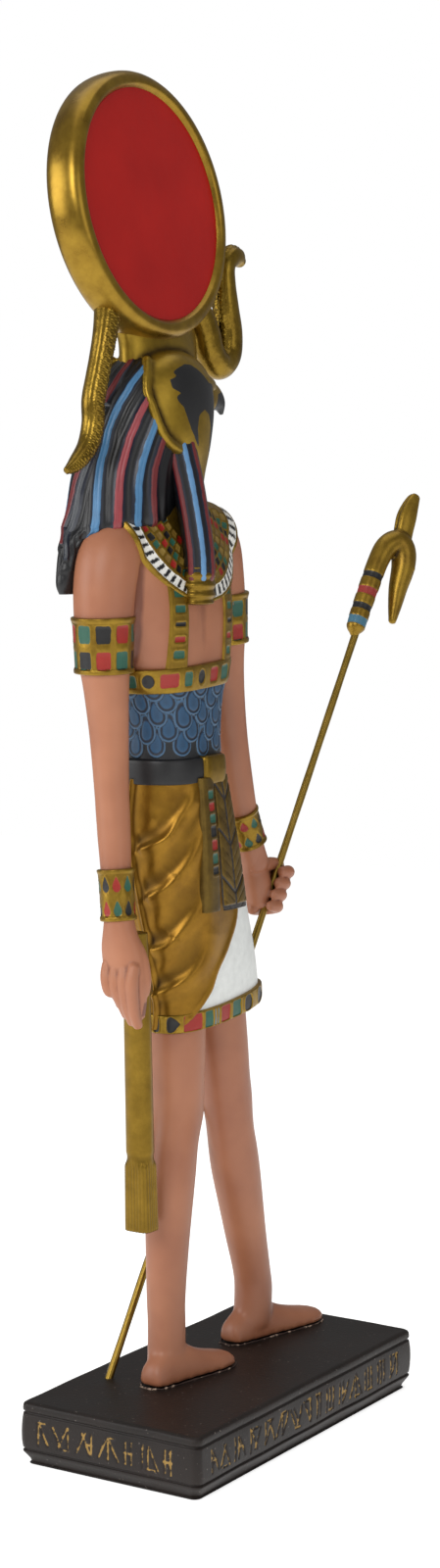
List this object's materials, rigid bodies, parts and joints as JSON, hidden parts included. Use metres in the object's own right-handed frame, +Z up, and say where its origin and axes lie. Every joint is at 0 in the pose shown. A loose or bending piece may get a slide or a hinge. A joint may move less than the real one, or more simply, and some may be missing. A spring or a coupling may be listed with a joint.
{
  "type": "horus statue",
  "caption": "Painted resin figurine of a striding falcon-headed god with a sun disc and cobra, holding a long sceptre and a folded cloth, on a black plinth.",
  "frame": {"origin": "middle of the plinth's underside", "axes": "+Z up along the figure's height; +X the way the legs, face and plinth's length point; chest and sun disc face -Y"},
  "size_m": [0.1339, 0.047, 0.3],
  "materials": {
    "black_resin": "cast polyresin under satin brown-black paint, engraved marks picked out in gold",
    "painted_resin": "cast polyresin, hand painted: satin terracotta skin, antique gold, blue, red, green, black and white",
    "gilt_rod": "thin metal rod with an antique gold coat",
    "gilt_resin": "cast polyresin painted antique gold with black, red and blue bands"
  },
  "bodies": {
    "root": {"plinth": "black_resin", "figure": "painted_resin", "sceptre_shaft": "gilt_rod", "sceptre_head": "gilt_resin"}
  },
  "joints": []
}
